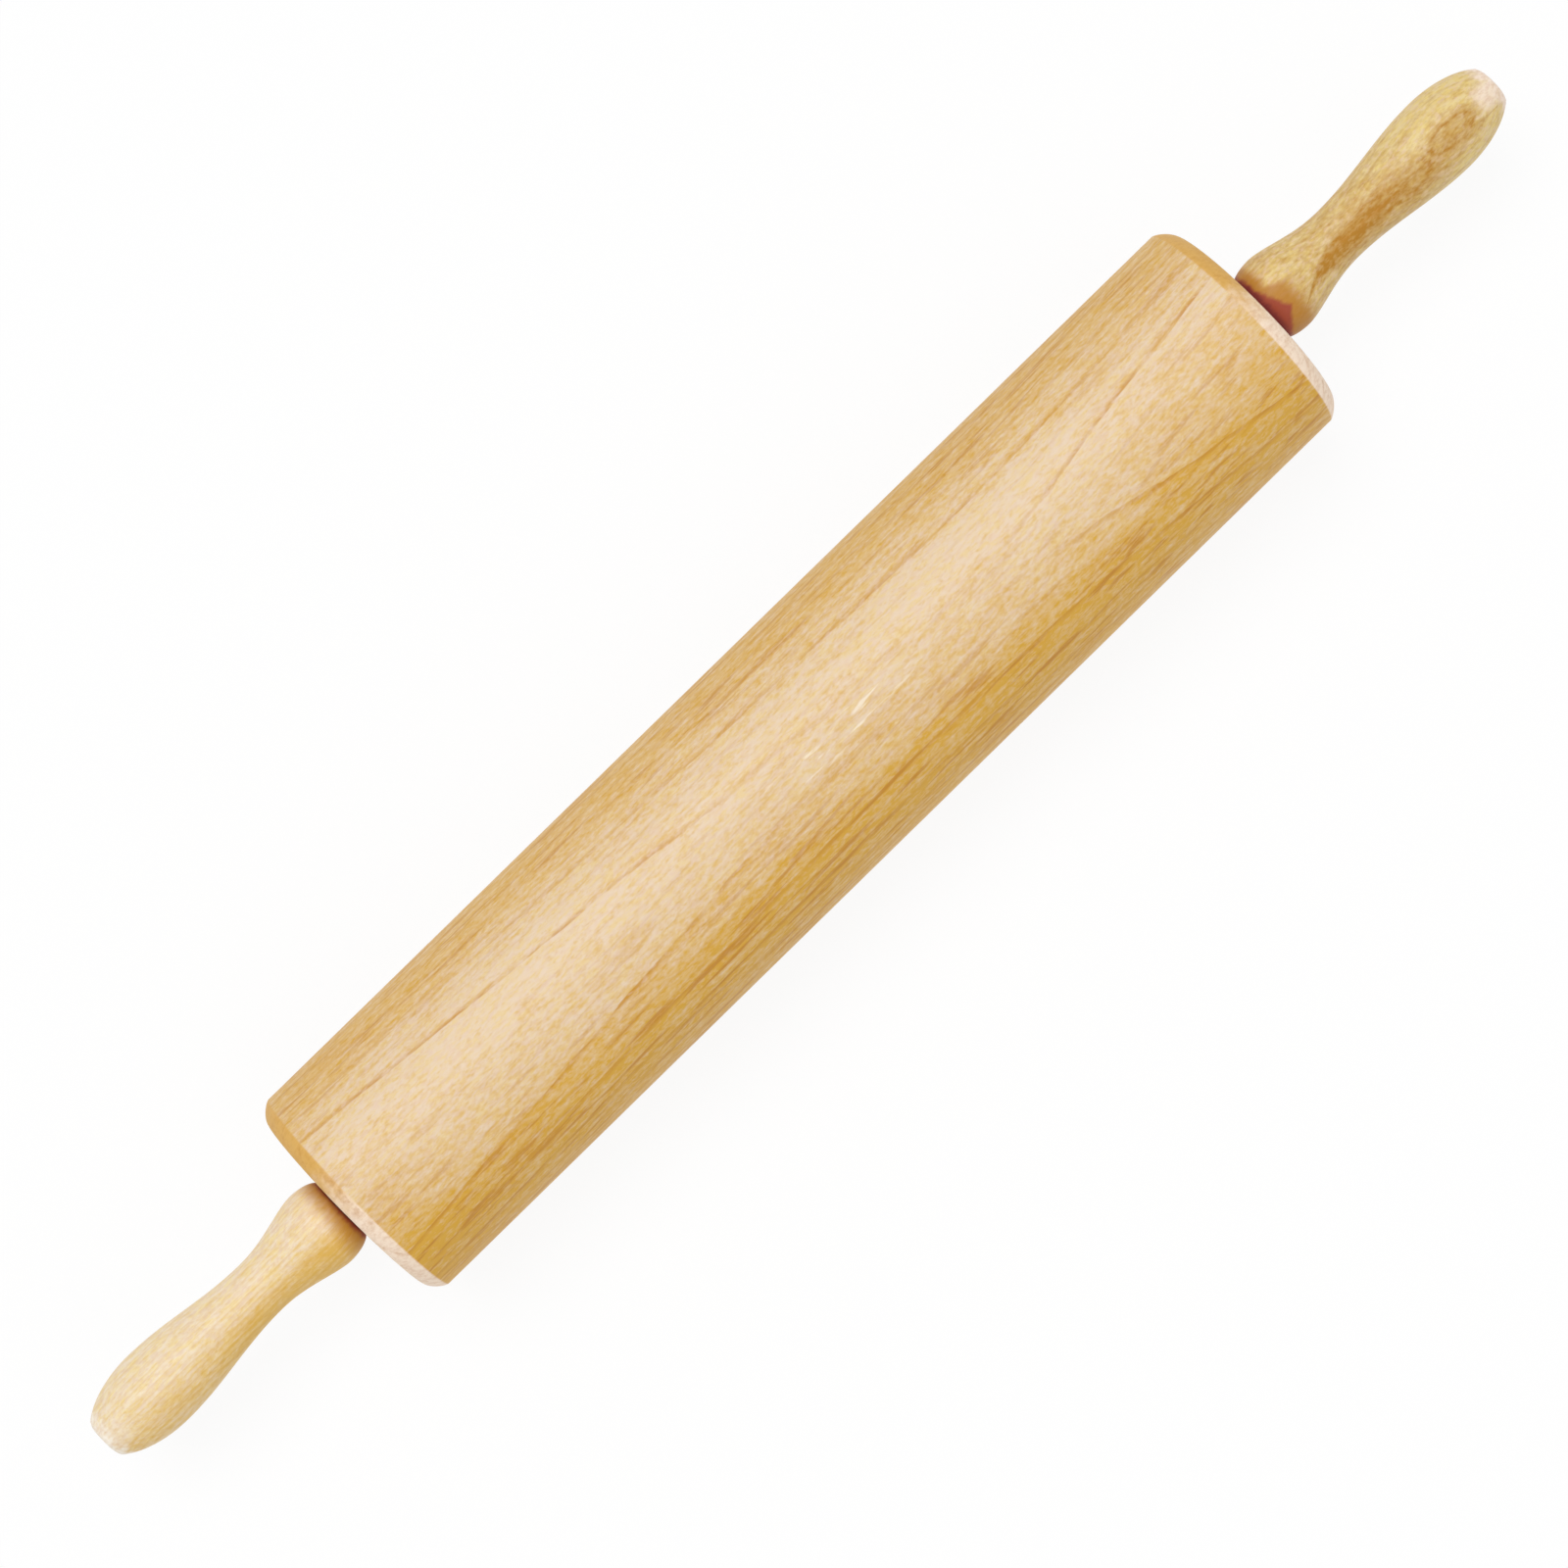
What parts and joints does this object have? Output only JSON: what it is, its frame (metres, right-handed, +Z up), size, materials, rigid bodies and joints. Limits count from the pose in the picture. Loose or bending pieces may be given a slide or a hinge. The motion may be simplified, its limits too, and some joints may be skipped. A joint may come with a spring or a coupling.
{
  "type": "rolling pin",
  "caption": "Wooden rolling pin: a thick cylindrical barrel with softly bevelled ends that spins on a steel rod between turned handles.",
  "frame": {"origin": "middle of the barrel, on its axis", "axes": "+X along the rod towards the right handle, +Z up when the pin lies on a table, +Y completes the right-handed set"},
  "size_m": [0.5836, 0.0774, 0.0774],
  "materials": {
    "barrel_wood": "pale straight-grained hardwood, sanded smooth, satin oil",
    "handle_wood": "pale straight-grained hardwood, turned and sanded, satin oil",
    "rod_steel": "bright drawn bar",
    "bushing_nylon": "dark moulded nylon",
    "washer_steel": "plain pressed steel",
    "nut_steel": "nickel plated"
  },
  "bodies": {
    "roller": {"barrel": "barrel_wood", "left_flange_bushing": "bushing_nylon", "right_flange_bushing": "bushing_nylon"},
    "axle": {"axle_rod": "rod_steel", "handles": "handle_wood", "left_thrust_washer": "washer_steel", "right_thrust_washer": "washer_steel", "left_nut_washer": "washer_steel", "right_nut_washer": "washer_steel", "left_handle_nut": "nut_steel", "right_handle_nut": "nut_steel"}
  },
  "joints": [
    {"name": "barrel_spin", "type": "hinge", "parent": "roller", "child": "axle", "pos_m": [0, 0, 0], "axis": [1, 0, 0], "continuous": true}
  ]
}
